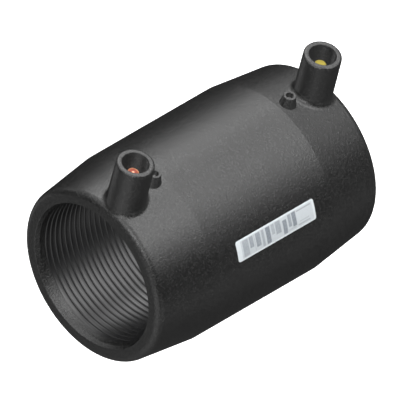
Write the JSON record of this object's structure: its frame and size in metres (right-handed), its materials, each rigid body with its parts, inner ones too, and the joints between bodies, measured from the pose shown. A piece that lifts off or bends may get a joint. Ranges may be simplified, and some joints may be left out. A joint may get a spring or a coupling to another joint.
{
  "type": "electrofusion coupler",
  "caption": "Straight electrofusion socket coupler for plastic pipe, with a heating coil in each socket, shrouded terminals and fusion indicators.",
  "frame": {"origin": "on the bore axis, in the plane of the lower end face", "axes": "+Z along the bore axis, from the plain-terminal end up to the resistor-terminal end; the terminals and indicators point along -Y"},
  "size_m": [0.068, 0.0838, 0.1014],
  "materials": {
    "black_polyethylene": "fine moulded grain, satin",
    "coil_coating": "satin, ribbed by the wire turns",
    "terminal_brass": "turned and lightly polished",
    "red_plastic": "glossy",
    "contact_metal": "bright tin plate",
    "resistor_ceramic": "matte",
    "label_film": "satin printed film"
  },
  "bodies": {
    "root": {"coupler_body": "black_polyethylene", "heating_coil": "coil_coating", "terminal_pin_lower": "terminal_brass", "terminal_sleeve_upper": "terminal_brass", "terminal_insulator_upper": "red_plastic", "resistor_contact_upper": "contact_metal", "identification_resistor": "resistor_ceramic", "barcode_label": "label_film"}
  },
  "joints": []
}
